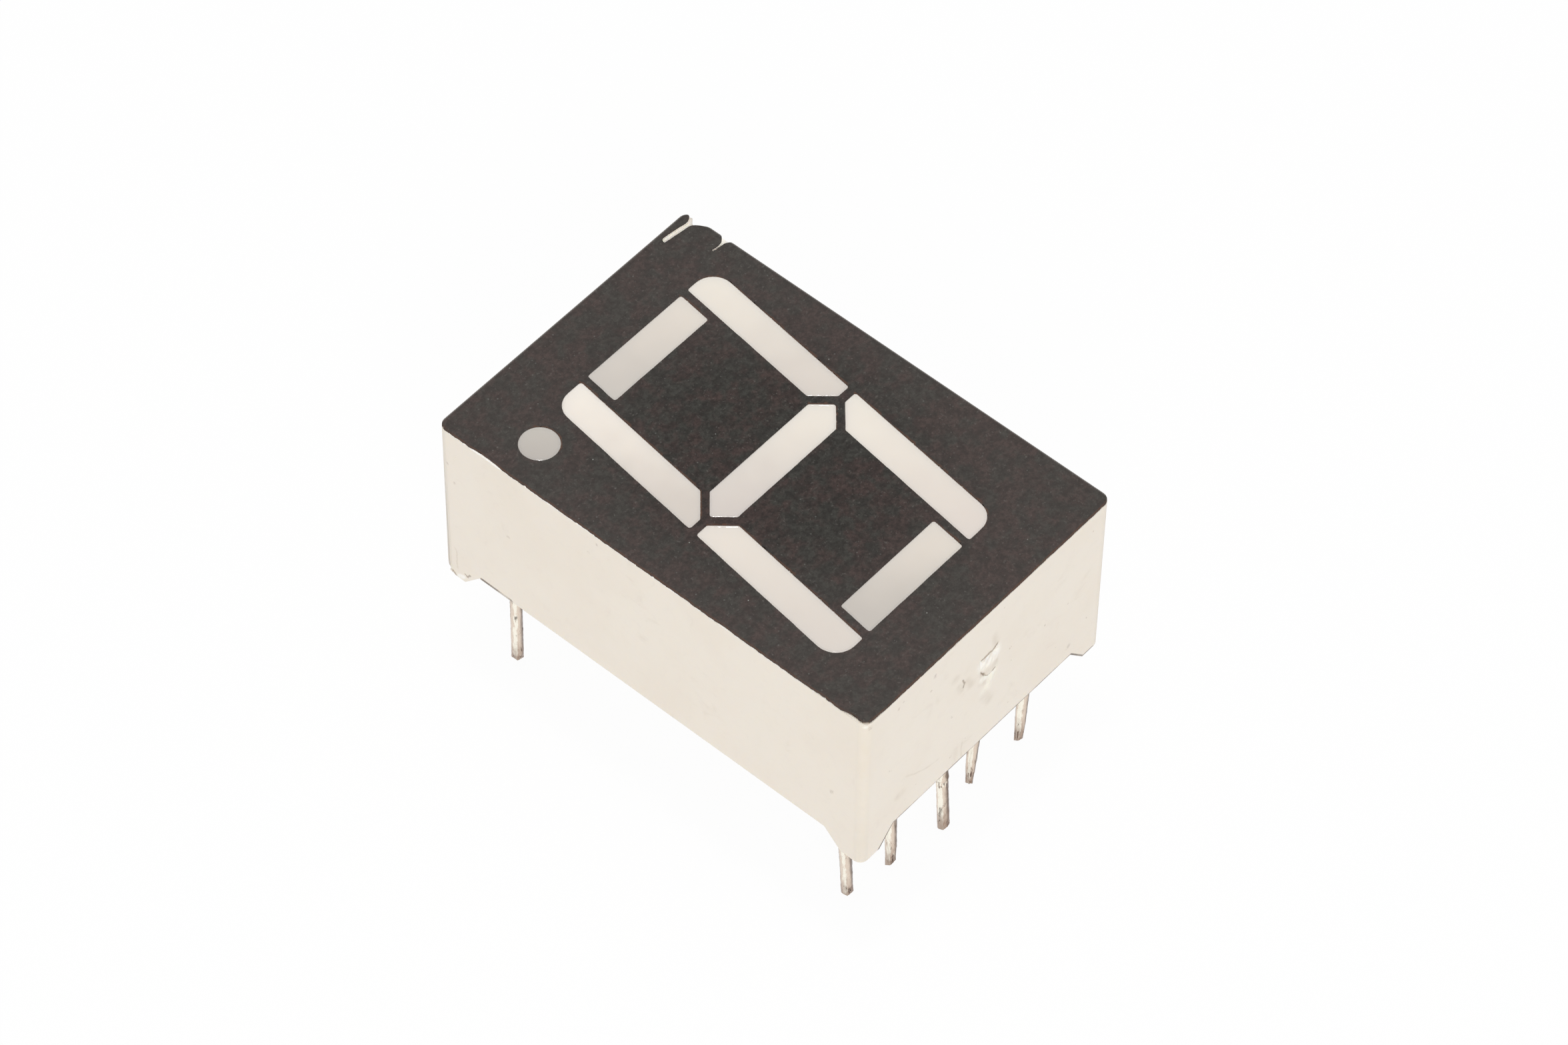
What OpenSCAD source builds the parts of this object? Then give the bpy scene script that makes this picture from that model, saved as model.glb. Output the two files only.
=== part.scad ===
// Seven segment display, one digit with a decimal point, for mounting through a circuit board.
//
// A white moulded reflector block holds eight tapered light wells. Clear resin with a white
// filler fills each well over one small light-emitting die. The dies sit on a circuit board
// that is pressed up against the reflector from below, and grey resin seals the board in.
// Ten round leads, two rows of five, pass through the resin.
//
// X runs across the digit, Y up the digit and Z out of its face. The origin is the middle of
// the lead pattern, on the plane where the four corner feet stand on a circuit board.

/* [Body] */
// Width of the body, across the digit
body_w = 12.6; // [12.4:0.1:16]
// Length of the body, along the digit
body_l = 19; // [18.4:0.1:24]
// Height of the face over the ends of the feet
body_h = 8; // [7:0.1:11]
// Thickness of the side walls
wall = 0.6; // [0.45:0.05:0.65]
// Radius of the four upright outer edges
edge_r = 0.35; // [0.1:0.05:0.6]
// Radius of the inner corners of the recess for the board
recess_r = 0.9; // [0.5:0.1:1.2]

/* [Feet] */
// Height of the feet under the lower rim
foot_h = 0.8; // [0.4:0.1:1.2]
// Width of each foot's flat end
foot_flat = 0.95; // [0.7:0.05:1.2]
// Distance over which each foot slopes up to the rim
foot_slope = 0.7; // [0.3:0.05:1.1]

/* [Digit] */
// Height of the digit
digit_h = 14.2; // [12.7:0.1:15.2]
// Width of the digit, measured level
digit_w = 8.13; // [7.4:0.01:8.6]
// Slant of the digit, in degrees
slant = 7.6; // [0:0.1:10]
// Width of the four upright strokes, measured level
stroke_w = 1.36; // [1:0.02:1.6]
// Height of the three level bars
bar_h = 1.43; // [1:0.01:1.7]
// Gap between neighbouring segments
segment_gap = 0.32; // [0.2:0.02:0.5]
// Radius of the digit's four outer corners
digit_corner_r = 0.8; // [0.3:0.05:1]
// Radius of every other corner of a segment
segment_corner_r = 0.1; // [0.04:0.01:0.14]
// Diameter of the decimal point
point_d = 1.46; // [1.2:0.02:1.6]
// Sideways place of the decimal point
point_x = 4.67; // [4.6:0.01:5]
// Height of the decimal point's centre along the digit
point_y = -6.34; // [-7:0.01:-5.8]

/* [Face] */
// Thickness of the black print
print_t = 0.05; // [0.03:0.01:0.1]
// How far the resin in the wells lies under the print's surface
fill_sink = 0.03; // [0:0.01:0.1]
// Depth of the straight neck of each well
neck_h = 0.35; // [0.2:0.05:0.8]
// Share of a segment's length that its well keeps at the board
floor_length_share = 0.42; // [0.4:0.01:0.7]
// Share of a segment's width that its well keeps at the board
floor_width_share = 0.8; // [0.75:0.01:0.95]

/* [Board] */
// Thickness of the circuit board
board_t = 1; // [0.6:0.1:1.4]
// Gap between the board's edge and the walls
board_gap = 0.05; // [0.02:0.01:0.08]
// Thickness of the copper
copper_t = 0.035; // [0.02:0.005:0.07]
// Thickness of the copper plating in the board's holes
plating_t = 0.03; // [0.02:0.005:0.05]
// Width of the copper tracks
track_w = 0.25; // [0.15:0.01:0.35]
// Depth of the sealing resin under the board
seal_t = 1.12; // [0.8:0.02:1.5]
// How far the sealing resin lies above the lower rim
seal_sink = 0.08; // [0.04:0.02:0.4]

/* [Dies] */
// Side of a light-emitting die
die_w = 0.28; // [0.2:0.01:0.34]
// Height of a die
die_h = 0.2; // [0.1:0.01:0.3]
// Diameter of the bond wires
wire_d = 0.04; // [0.03:0.005:0.06]
// Height of the ball that welds a wire to its die
ball_h = 0.03; // [0.02:0.01:0.06]
// Distance from a bar's die to the land of its wire
wire_span = 0.8; // [0.66:0.02:0.9]
// Distance from the decimal point's die to the land of its wire
point_wire_span = 0.6; // [0.56:0.02:0.66]
// Side of the copper land under a die
die_land = 0.42; // [0.36:0.01:0.46]
// Diameter of the copper land of a wire
wire_land = 0.3; // [0.24:0.01:0.36]

/* [Leads] */
// Diameter of the leads
lead_d = 0.5; // [0.4:0.01:0.58]
// Diameter of the leads' shanks at the surface of the sealing resin
shank_d = 0.62; // [0.6:0.01:0.7]
// Diameter of the shanks at the top of the board, which they are pressed into
shank_top_d = 0.59; // [0.56:0.01:0.59]
// Length of the leads below the ends of the feet
lead_l = 5.8; // [3:0.1:8]
// Distance from each end of the body to its row of leads
row_inset = 1.88; // [1.8:0.01:2.1]
// Distance from each side of the body to the end leads of a row
side_inset = 1.22; // [1.2:0.01:1.5]
// Angle of the cut at the tips, in degrees
tip_angle = 46; // [20:1:55]
// Width of the copper ring round a shank
pad_ring = 0.14; // [0.1:0.01:0.16]
// Height of the solder under a ring
solder_h = 0.5; // [0.3:0.05:0.7]

/* [Hidden] */
// heights of the levels, from the feet up
rim_z = foot_h;
seal_z = rim_z + seal_sink;
board_z = seal_z + seal_t;
copper_z = board_z + board_t;
floor_z = copper_z + copper_t;
print_z = body_h - print_t;
fill_z = body_h - fill_sink;

// half sizes of the recess that holds the board
recess_x = body_w / 2 - wall;
recess_y = body_l / 2 - wall;

// the leads are straight down to here, and handling has bent some of them below it
bend_z = -lead_d / 2;
// for each lead, the direction that it leans in, its angle, and the share of it that leans
LEAN = [
    [0, 0, 1], [0, 0, 1], [0, 0, 1], [0, 0, 1], [210, 6.6, 1],
    [199, 6.8, 1], [112, 1.2, 1], [88, 10.5, 0.45], [4, 5.8, 1], [9, 5.2, 1],
];
// how much thicker a lead is at a bend
knuckle = 1.03;
// how much thicker a bond wire is where it comes down to its land
stitch = 1.4;
ROW = 5;
LEADS = 2 * ROW;
// distance from lead to lead in a row, and between the two rows
lead_pitch = (body_w - 2 * side_inset) / (ROW - 1);
row_gap = body_l - 2 * row_inset;
// side of the block that cuts a tip off at a slant
tip_block = 8 * lead_d;
// how far the lower end of the solder stands out from the shank
solder_lip = 0.04;

// segment letters in order round the digit, then the middle bar and the decimal point
SEGMENTS = ["a", "b", "c", "d", "e", "f", "g", "dp"];
POINT = 7;
FILLS = [for (k = [0:6]) str("segment_", SEGMENTS[k])];
FILL_NAMES = concat(FILLS, ["decimal_point"]);
DIES = [for (s = SEGMENTS) str("led_die_", s)];
WIRES = [for (s = SEGMENTS) str("bond_wire_", s)];
LEAD_NAMES = [for (i = [1:LEADS]) str("lead_", i)];
SOLDER_NAMES = [for (i = [1:LEADS]) str("solder_", i)];

// lead that feeds each segment, in the order of SEGMENTS, and the two common leads
FEED = [7, 6, 4, 2, 1, 9, 10, 5];
COMMON = [3, 8];

// small overrun, so that no cut ends on the face that it opens
cut = 0.5;
$fn = 48;

WHITE = [0.93, 0.9, 0.85];
BLACK = [0.24, 0.22, 0.21];
MILKY = [0.86, 0.83, 0.78];
GREEN = [0.2, 0.36, 0.22];
COPPER = [0.8, 0.5, 0.3];
RESIN = [0.78, 0.76, 0.7];
DIE = [0.55, 0.16, 0.14];
GOLD = [0.9, 0.72, 0.3];
TIN = [0.75, 0.73, 0.7];
SOLDER = [0.66, 0.66, 0.67];

// ---- outlines ----

function unit(v) = v / norm(v);

// An arc of radius r that rounds the corner p between its neighbours a and b
function corner_arc(a, p, b, r) =
    let (
        u = unit(a - p),
        v = unit(b - p),
        half = acos(u * v) / 2,
        centre = p + unit(u + v) * r / sin(half),
        start = p + u * r / tan(half) - centre,
        end = p + v * r / tan(half) - centre,
        from = atan2(start[1], start[0]),
        turn = atan2(cross(start, end), start * end),
        steps = r > 0.2 ? 8 : 3
    )
    [for (k = [0:steps]) centre + r * [cos(from + turn * k / steps), sin(from + turn * k / steps)]];

// A closed outline from points [x, y, corner radius]
function rounded(points) =
    let (n = len(points), flat = [for (p = points) [p[0], p[1]]])
    [for (i = [0:n - 1])
        each corner_arc(flat[(i + n - 1) % n], flat[i], flat[(i + 1) % n], points[i][2])];

// Leans a point over by the digit's slant
function lean(p) = [p[0] + p[1] * tan(slant), p[1], p[2]];

// Half sizes of the digit before it is leaned over
half_w = digit_w / 2;
half_h = digit_h / 2;
// inner edge of the upright strokes, and half the gap along an axis
inner_x = half_w - stroke_w;
half_gap = segment_gap / 2;
// the middle bar's slope runs on by this much past its flats
taper = bar_h / 2;
middle_tip = half_w - stroke_w / 2 - segment_gap / 2;
// gap along an axis across a 45 degree joint
joint = segment_gap * sqrt(2);

r1 = segment_corner_r;

// One level bar, between the strokes, with its middle at height y
function bar(y) = [
    [-inner_x + segment_gap, y - bar_h / 2, r1], [inner_x - segment_gap, y - bar_h / 2, r1],
    [inner_x - segment_gap, y + bar_h / 2, r1], [-inner_x + segment_gap, y + bar_h / 2, r1],
];

// The middle bar, pointed at both ends
function middle_bar() = [
    [-middle_tip, 0, r1], [-middle_tip + taper, -bar_h / 2, r1],
    [middle_tip - taper, -bar_h / 2, r1], [middle_tip, 0, r1],
    [middle_tip - taper, bar_h / 2, r1], [-middle_tip + taper, bar_h / 2, r1],
];

// An upright stroke on the side sx (+1 or -1) in the half sy (+1 or -1)
function stroke(sx, sy) =
    let (slope_x = middle_tip + joint - half_gap)
    [
        [sx * inner_x, sy * half_h, r1],
        [sx * inner_x, sy * (joint + middle_tip - inner_x), r1],
        [sx * slope_x, sy * half_gap, r1],
        [sx * half_w, sy * half_gap, r1],
        [sx * half_w, sy * half_h, digit_corner_r],
    ];

// Outline of segment k, k from 0 to 6 for the letters a to g, on the face
function segment_points(k) =
    k == 0 ? bar(half_h - bar_h / 2)
    : k == 1 ? stroke(1, 1)
    : k == 2 ? stroke(1, -1)
    : k == 3 ? bar(-half_h + bar_h / 2)
    : k == 4 ? stroke(-1, -1)
    : k == 5 ? stroke(-1, 1)
    : middle_bar();

function segment_outline(k) = rounded([for (p = segment_points(k)) lean(p)]);

// Middle of each well's floor, where its die and wire are
stroke_x = half_w - stroke_w / 2;
CENTRES = [for (p = [
    [0, half_h - bar_h / 2], [stroke_x, half_h / 2], [stroke_x, -half_h / 2],
    [0, -half_h + bar_h / 2], [-stroke_x, -half_h / 2], [-stroke_x, half_h / 2], [0, 0],
]) [lean([p[0], p[1], 0])[0], p[1]]];
function centre(k) = k == POINT ? [point_x, point_y] : CENTRES[k];

// Direction along each segment, from its die to the land of its wire
UPRIGHT = [sin(slant), cos(slant)];
AXES = [[1, 0], UPRIGHT, -UPRIGHT, [-1, 0], -UPRIGHT, UPRIGHT, [-1, 0], [0, -1]];
function span(k) = k == POINT ? point_wire_span : wire_span;
function die_at(k) = centre(k) - AXES[k] * span(k) / 2;
function land_at(k) = centre(k) + AXES[k] * span(k) / 2;

// The outline of a well's floor: the face outline drawn in to its middle
function floor_outline(k) =
    let (c = centre(k), u = AXES[k], v = [-u[1], u[0]])
    [for (p = segment_outline(k))
        c + u * ((p - c) * u) * floor_length_share + v * ((p - c) * v) * floor_width_share];

// Centre of lead i, counted from 1 at the lower left, along one row and back along the other
function lead_xy(i) = i <= ROW
    ? [(i - 1 - (ROW - 1) / 2) * lead_pitch, -row_gap / 2]
    : [(LEADS - i - (ROW - 1) / 2) * lead_pitch, row_gap / 2];
pad_r = shank_d / 2 + pad_ring;

// The tapered shank of lead i between two heights, in the board and in the sealing resin
function shank_r(z) = (shank_d + (shank_top_d - shank_d) * (z - seal_z) / (floor_z - seal_z)) / 2;
module shank(i, low, high) {
    translate(concat(lead_xy(i), low)) cylinder(r1 = shank_r(low), r2 = shank_r(high), h = high - low);
}

// ---- wells ----

// A solid through rings of points, one above the other, with triangles for its sides
module loft(rings) {
    n = len(rings[0]);
    last = len(rings) - 1;
    points = [for (ring = rings) each ring];
    sides = [for (r = [0:last - 1]) for (i = [0:n - 1]) let (j = (i + 1) % n) each [
        [r * n + i, r * n + j, (r + 1) * n + j],
        [r * n + i, (r + 1) * n + j, (r + 1) * n + i],
    ]];
    bottom = [[for (i = [n - 1:-1:0]) i]];
    top = [[for (i = [0:n - 1]) last * n + i]];
    polyhedron(points, [for (f = concat(sides, bottom, top)) [for (i = [len(f) - 1:-1:0]) f[i]]]);
}

function level(outline, z) = [for (p = outline) [p[0], p[1], z]];
function counter_clockwise(outline) =
    let (n = len(outline),
        area = [for (i = [0:n - 1]) cross(outline[i], outline[(i + 1) % n])] * [for (i = [0:n - 1]) 1])
    area > 0 ? outline : [for (i = [n - 1:-1:0]) outline[i]];

// The space of well k, from the reflector's floor up to height top
module well(k, top) {
    neck_z = body_h - neck_h;
    if (k == POINT) {
        translate([point_x, point_y, 0]) {
            translate([0, 0, neck_z]) cylinder(d = point_d, h = top - neck_z);
            translate([0, 0, floor_z])
                cylinder(d1 = point_d * floor_width_share, d2 = point_d, h = neck_z - floor_z);
        }
    } else {
        face = counter_clockwise(segment_outline(k));
        foot = counter_clockwise(floor_outline(k));
        loft([level(foot, floor_z), level(face, neck_z), level(face, top)]);
    }
}

// ---- housing ----

// A rectangle with exact round corners, centred on the origin
module round_rectangle(x, y, r) {
    square([2 * x, 2 * (y - r)], center = true);
    square([2 * (x - r), 2 * y], center = true);
    for (sx = [-1, 1], sy = [-1, 1]) translate([sx * (x - r), sy * (y - r)]) circle(r);
}

// Side view of the body: a block on two sloping feet, half as wide as half
module footed_profile(half) {
    polygon([
        [-half, 0], [-half + foot_flat, 0], [-half + foot_flat + foot_slope, rim_z],
        [half - foot_flat - foot_slope, rim_z], [half - foot_flat, 0], [half, 0],
        [half, print_z], [-half, print_z],
    ]);
}

module footed_block() {
    intersection() {
        linear_extrude(print_z) round_rectangle(body_w / 2, body_l / 2, edge_r);
        translate([0, body_l / 2 + cut, 0]) rotate([90, 0, 0])
            linear_extrude(body_l + 2 * cut) footed_profile(body_w / 2);
        translate([-body_w / 2 - cut, 0, 0]) rotate([90, 0, 90])
            linear_extrude(body_w + 2 * cut) footed_profile(body_l / 2);
    }
}

// Scrapes and cracks at the lower left corner of the face: outlines measured from that corner
UPPER_SLIT = [[-0.1, 2.2], [0.24, 1.97], [0.5, 1.96], [0.76, 1.93], [0.75, 1.83], [0.5, 1.88],
    [0.25, 1.87], [0, 1.65], [-0.1, 1.6]];
LOWER_SLIT = [[-0.1, 1.3], [0.04, 1.1], [0.19, 0.81], [0.38, 0.57], [0.9, 0.51], [1.58, 0.42],
    [1.61, 0.32], [1.44, 0.22], [0.8, 0.3], [0.35, 0.38], [0.15, 0.3], [0.02, 0.15], [-0.1, 0.1]];
CORNER_CHIP = [[-0.1, 1.25], [0.03, 1.08], [0.18, 0.8], [0.3, 0.6], [0.16, 0.42], [0, 0.3], [-0.1, 0.25]];
slit_depth = 0.1;
chip_depth = 0.7;

module at_lower_left() {
    translate([-body_w / 2, -body_l / 2]) children();
}

module face_slits() {
    at_lower_left() {
        polygon(UPPER_SLIT);
        polygon(LOWER_SLIT);
    }
}

// Shallow double scoop where the moulding gate was torn off, in the upper end wall
gate_z = 5.05;
gate_x = -0.08;
gate_ball = 1.3;
gate_depth = 0.1;
module gate_scar() {
    for (rise = [-0.2, 0.2])
        translate([gate_x, body_l / 2 + gate_ball - gate_depth, gate_z + rise]) sphere(gate_ball);
}

// Pieces broken off the foot at the lower right corner: a slice off its end, and a chip beside it.
// Each is a block, with its own turn and the place of its low corner
SLICE = [3, 1.62, 1.35];
SLICE_TURN = [-38, 0, 6];
SLICE_AT = [-2, -1.5, -1];
CHIP = [1, 1.5, 0.8];
CHIP_TURN = [-20, 32, 0];
CHIP_AT = [-0.3, -0.6, -0.7];
CHIP_PIVOT = [0.1, 0.3, -0.1];
module broken_foot() {
    translate([body_w / 2, -body_l / 2, 0]) {
        rotate(SLICE_TURN) translate(SLICE_AT) cube(SLICE);
        translate(CHIP_PIVOT) rotate(CHIP_TURN) translate(CHIP_AT) cube(CHIP);
    }
}

module housing() {
    color(WHITE) difference() {
        footed_block();
        translate([0, 0, -cut]) linear_extrude(floor_z + cut)
            round_rectangle(recess_x, recess_y, recess_r);
        for (k = [0:POINT]) well(k, body_h + cut);
        translate([0, 0, print_z - slit_depth]) linear_extrude(slit_depth + cut) face_slits();
        translate([0, 0, print_z - chip_depth]) linear_extrude(chip_depth + cut)
            at_lower_left() polygon(CORNER_CHIP);
        gate_scar();
        broken_foot();
    }
}

// The black print on the face, open over every well and worn through at one corner
module face_print() {
    color(BLACK) difference() {
        translate([0, 0, print_z]) linear_extrude(print_t) difference() {
            round_rectangle(body_w / 2, body_l / 2, edge_r);
            for (k = [0:POINT - 1]) polygon(segment_outline(k));
            translate([point_x, point_y]) circle(d = point_d);
            face_slits();
        }
    }
}

// ---- circuit board and copper ----

module circuit_board() {
    color(GREEN) difference() {
        translate([0, 0, board_z]) linear_extrude(board_t)
            round_rectangle(recess_x - board_gap, recess_y - board_gap, recess_r);
        for (i = [1:LEADS])
            translate(concat(lead_xy(i), board_z - cut))
                cylinder(d = shank_d + 2 * plating_t, h = board_t + 2 * cut);
    }
}

// A straight track from a to b on top of the board, with round ends
module track(a, b) {
    run = b - a;
    translate([a[0], a[1], copper_z]) {
        cylinder(d = track_w, h = copper_t);
        rotate([0, 0, atan2(run[1], run[0])]) translate([0, -track_w / 2, 0])
            cube([norm(run), track_w, copper_t]);
        translate([run[0], run[1], 0]) cylinder(d = track_w, h = copper_t);
    }
}

module route(points) {
    for (i = [1:len(points) - 1]) track(points[i - 1], points[i]);
}

// The plated hole of lead i, with its rings above and below the board
module plated_hole(i) {
    translate(lead_xy(i)) {
        for (z = [copper_z, board_z - copper_t])
            translate([0, 0, z]) cylinder(r = pad_r, h = copper_t);
        translate([0, 0, board_z]) cylinder(d = shank_d + 2 * plating_t, h = board_t);
    }
}

module die_pad(k) {
    translate([die_at(k)[0], die_at(k)[1], copper_z]) rotate([0, 0, atan2(AXES[k][1], AXES[k][0])])
        translate([-die_land / 2, -die_land / 2, 0]) cube([die_land, die_land, copper_t]);
}

// The outer way round for the middle bar's track, past the strokes on the left
module feed_track(k) {
    lead = lead_xy(FEED[k]);
    if (SEGMENTS[k] == "g") route([lead, [lead[0], 0], land_at(k)]);
    else route([lead, land_at(k)]);
    translate([land_at(k)[0], land_at(k)[1], copper_z]) cylinder(d = wire_land, h = copper_t);
}

// The common track: a trunk between the two middle leads with a branch to every die
module common_track() {
    route([for (i = COMMON) lead_xy(i)]);
    for (k = [0:POINT - 1]) route([[0, die_at(k)[1]], die_at(k)]);
    // the decimal point's die is reached from the lower right stroke's
    route([die_at(2), [point_x, die_at(2)[1]], die_at(POINT)]);
    for (k = [0:POINT]) die_pad(k);
}

module tracks() {
    color(COPPER) difference() {
        union() {
            common_track();
            for (k = [0:POINT]) feed_track(k);
            for (i = [1:LEADS]) plated_hole(i);
        }
        for (i = [1:LEADS]) shank(i, board_z - cut, floor_z + cut);
    }
}

// ---- dies, wires and light wells ----

module die_block(k) {
    translate([die_at(k)[0], die_at(k)[1], floor_z]) rotate([0, 0, atan2(AXES[k][1], AXES[k][0])])
        translate([-die_w / 2, -die_w / 2, 0]) cube([die_w, die_w, die_h]);
}

// A half-circle loop from a flattened ball on the die to a thicker stitch on the land
module wire_loop(k) {
    top_z = floor_z + die_h;
    loop_z = top_z + ball_h / 2;
    translate([centre(k)[0], centre(k)[1], loop_z]) rotate([90, 0, atan2(AXES[k][1], AXES[k][0])])
        rotate_extrude(angle = 180) translate([span(k) / 2, 0]) circle(d = wire_d);
    translate(concat(die_at(k), top_z)) cylinder(d = 2 * wire_d, h = ball_h);
    translate(concat(land_at(k), floor_z)) cylinder(d = stitch * wire_d, h = die_h + ball_h);
}

module led_die(k) {
    color(DIE) die_block(k);
}

module bond_wire(k) {
    color(GOLD) wire_loop(k);
}

// The milky resin that fills a well, moulded round its die and wire
module well_fill(k) {
    color(MILKY) difference() {
        well(k, fill_z);
        die_block(k);
        wire_loop(k);
    }
}

// ---- leads ----

module down(length) {
    translate([0, 0, -length]) cylinder(d = lead_d, h = length);
}

// the height over which lead i leans, and how far that moves its tip
function lean_drop(i) = (lead_l + bend_z) * LEAN[i - 1][2];
function tip_shift(i) = lean_drop(i) * tan(LEAN[i - 1][1]);

// The part of lead i below bend_z, leaning towards +X, and upright again below a second bend
module leaning_end(i) {
    angle = LEAN[i - 1][1];
    rest = lead_l + bend_z - lean_drop(i);
    sphere(d = lead_d * knuckle);
    rotate([0, -angle, 0]) down(lean_drop(i) / cos(angle) + (rest > 0 ? 0 : cut));
    if (rest > 0) translate([tip_shift(i), 0, -lean_drop(i)]) {
        sphere(d = lead_d * knuckle);
        down(rest + cut);
    }
}

// Lead i: a tapered shank in the board and resin, and a thinner end cut off at a slant
module lead(i) {
    direction = LEAN[i - 1][0];
    shift = tip_shift(i) * [cos(direction), sin(direction)];
    color(TIN) {
        shank(i, seal_z, floor_z);
        translate(lead_xy(i)) difference() {
            if (LEAN[i - 1][1] > 0) {
                translate([0, 0, seal_z]) down(seal_z - bend_z);
                translate([0, 0, bend_z]) rotate([0, 0, direction]) leaning_end(i);
            } else {
                translate([0, 0, seal_z]) down(seal_z + lead_l + cut);
            }
            // the slanting cut faces the right-hand side and leaves the tip on the left
            translate([shift[0] - lead_d / 2, shift[1], -lead_l]) rotate([0, -tip_angle, 0])
                translate([-tip_block / 2, -tip_block / 2, -tip_block])
                    cube([1.5 * tip_block, tip_block, tip_block]);
        }
    }
}

// The fillet of solder under the board round lead i
module solder_cone(i) {
    translate(concat(lead_xy(i), board_z - copper_t - solder_h))
        cylinder(r1 = shank_d / 2 + solder_lip, r2 = pad_r, h = solder_h);
}

module solder(i) {
    color(SOLDER) difference() {
        solder_cone(i);
        shank(i, seal_z, floor_z);
    }
}

// The resin that seals the board in, cast round the shanks
module sealing_resin() {
    color(RESIN) difference() {
        translate([0, 0, seal_z]) linear_extrude(seal_t)
            round_rectangle(recess_x, recess_y, recess_r);
        for (i = [1:LEADS]) {
            shank(i, seal_z - cut, board_z + cut);
            solder_cone(i);
            translate(concat(lead_xy(i), board_z - copper_t)) cylinder(r = pad_r, h = copper_t + cut);
        }
    }
}

housing();
face_print();
circuit_board();
tracks();
sealing_resin();
for (k = [0:POINT]) {
    well_fill(k);
    led_die(k);
    bond_wire(k);
}
for (i = [1:LEADS]) {
    lead(i);
    solder(i);
}
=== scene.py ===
"""Looks of a seven segment display: one slanted digit with a decimal point, on ten round leads.

A white reflector block with a black printed face holds milky resin in eight light wells. The
sections below follow the display as it is put together, from the block to the leads.
"""

import math

import bmesh
import bpy
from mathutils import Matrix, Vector, noise


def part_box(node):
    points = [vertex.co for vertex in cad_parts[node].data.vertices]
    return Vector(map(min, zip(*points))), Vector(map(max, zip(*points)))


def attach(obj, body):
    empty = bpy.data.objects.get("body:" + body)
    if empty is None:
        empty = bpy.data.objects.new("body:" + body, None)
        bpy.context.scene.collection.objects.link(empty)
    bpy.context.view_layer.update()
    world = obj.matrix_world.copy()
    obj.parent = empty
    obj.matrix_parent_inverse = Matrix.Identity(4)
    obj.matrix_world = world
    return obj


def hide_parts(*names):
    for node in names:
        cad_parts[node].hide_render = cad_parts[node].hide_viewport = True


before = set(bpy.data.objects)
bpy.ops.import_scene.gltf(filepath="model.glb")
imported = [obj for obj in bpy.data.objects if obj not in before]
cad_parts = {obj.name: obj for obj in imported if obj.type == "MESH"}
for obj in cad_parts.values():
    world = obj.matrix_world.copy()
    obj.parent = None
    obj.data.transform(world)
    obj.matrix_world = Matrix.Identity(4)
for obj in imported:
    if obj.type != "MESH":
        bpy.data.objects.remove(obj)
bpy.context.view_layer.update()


# ---- the reflector block ----
# The block is moulded in ivory-white plastic, filled with pigment so that no light leaks from well
# to well. Its upper edges are slightly rounded, one foot is broken off, and handling has left faint
# smudges, specks and hairline cracks on its walls.

MM = 0.001
WELD = 0.002 * MM
block_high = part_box("housing")[1]
HALF_X, HALF_Y = block_high.x, block_high.y
EDGE_R = 0.35 * MM
# the upper edge: its radius, where it is cut for the bend, and how far down the bend is felt
ROLL = 0.09 * MM
ROLL_CUTS = (0.012 * MM, 0.04 * MM, ROLL)
ROLL_DEPTH = 0.2 * MM


def welded(node):
    """A CAD node's mesh, with its loose triangles joined up."""
    bm = bmesh.new()
    bm.from_mesh(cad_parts[node].data)
    bmesh.ops.remove_doubles(bm, verts=bm.verts, dist=WELD)
    return bm


def merge_flats(bm):
    """Joins the triangles of each flat face."""
    bmesh.ops.dissolve_limit(
        bm, angle_limit=math.radians(0.5), verts=bm.verts, edges=bm.edges,
        use_dissolve_boundaries=False,
    )


def cut_across(bm, axis, places, wanted=None):
    """Cuts every face, or the wanted ones, along planes across one axis."""
    normal = Vector((axis == 0, axis == 1, axis == 2))
    for place in places:
        faces = [f for f in bm.faces if wanted is None or wanted(f)]
        edges = {e for f in faces for e in f.edges}
        verts = {v for f in faces for v in f.verts}
        bmesh.ops.bisect_plane(
            bm, geom=list(verts) + list(edges) + faces, plane_co=normal * place, plane_no=normal,
            dist=1e-7,
        )


def from_border(point, half_x=HALF_X, half_y=HALF_Y, radius=EDGE_R):
    """How far a point lies inside the rounded rectangle of the body."""
    x, y = abs(point.x) - half_x + radius, abs(point.y) - half_y + radius
    return radius - math.hypot(max(x, 0), max(y, 0)) - min(max(x, y), 0)


def roll_over(bm, top):
    """Rounds the upper edge of the body, and draws down what lies just under it."""
    for v in bm.verts:
        near = ROLL - from_border(v.co)
        if near > 0 and v.co.z > top - ROLL_DEPTH:
            drop = ROLL - math.sqrt(max(ROLL * ROLL - near * near, 0))
            v.co.z -= drop * min(1, (v.co.z - top + ROLL_DEPTH) / ROLL_DEPTH)


def mesh_finely(bm, axes, low, high, pitch, facing):
    """Cuts a patch of a flat wall, between two corners, into small squares."""
    def on_wall(f):
        return f.normal.dot(facing) > 0.99

    def inside(f):
        middle = f.calc_center_median()
        return on_wall(f) and all(low[k] < middle[axis] < high[k] for k, axis in enumerate(axes))

    for k, axis in enumerate(axes):
        cut_across(bm, axis, (low[k], high[k]), on_wall)
    for k, axis in enumerate(axes):
        count = round((high[k] - low[k]) / pitch)
        places = [low[k] + (high[k] - low[k]) * n / count for n in range(1, count)]
        cut_across(bm, axis, places, inside)


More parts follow.
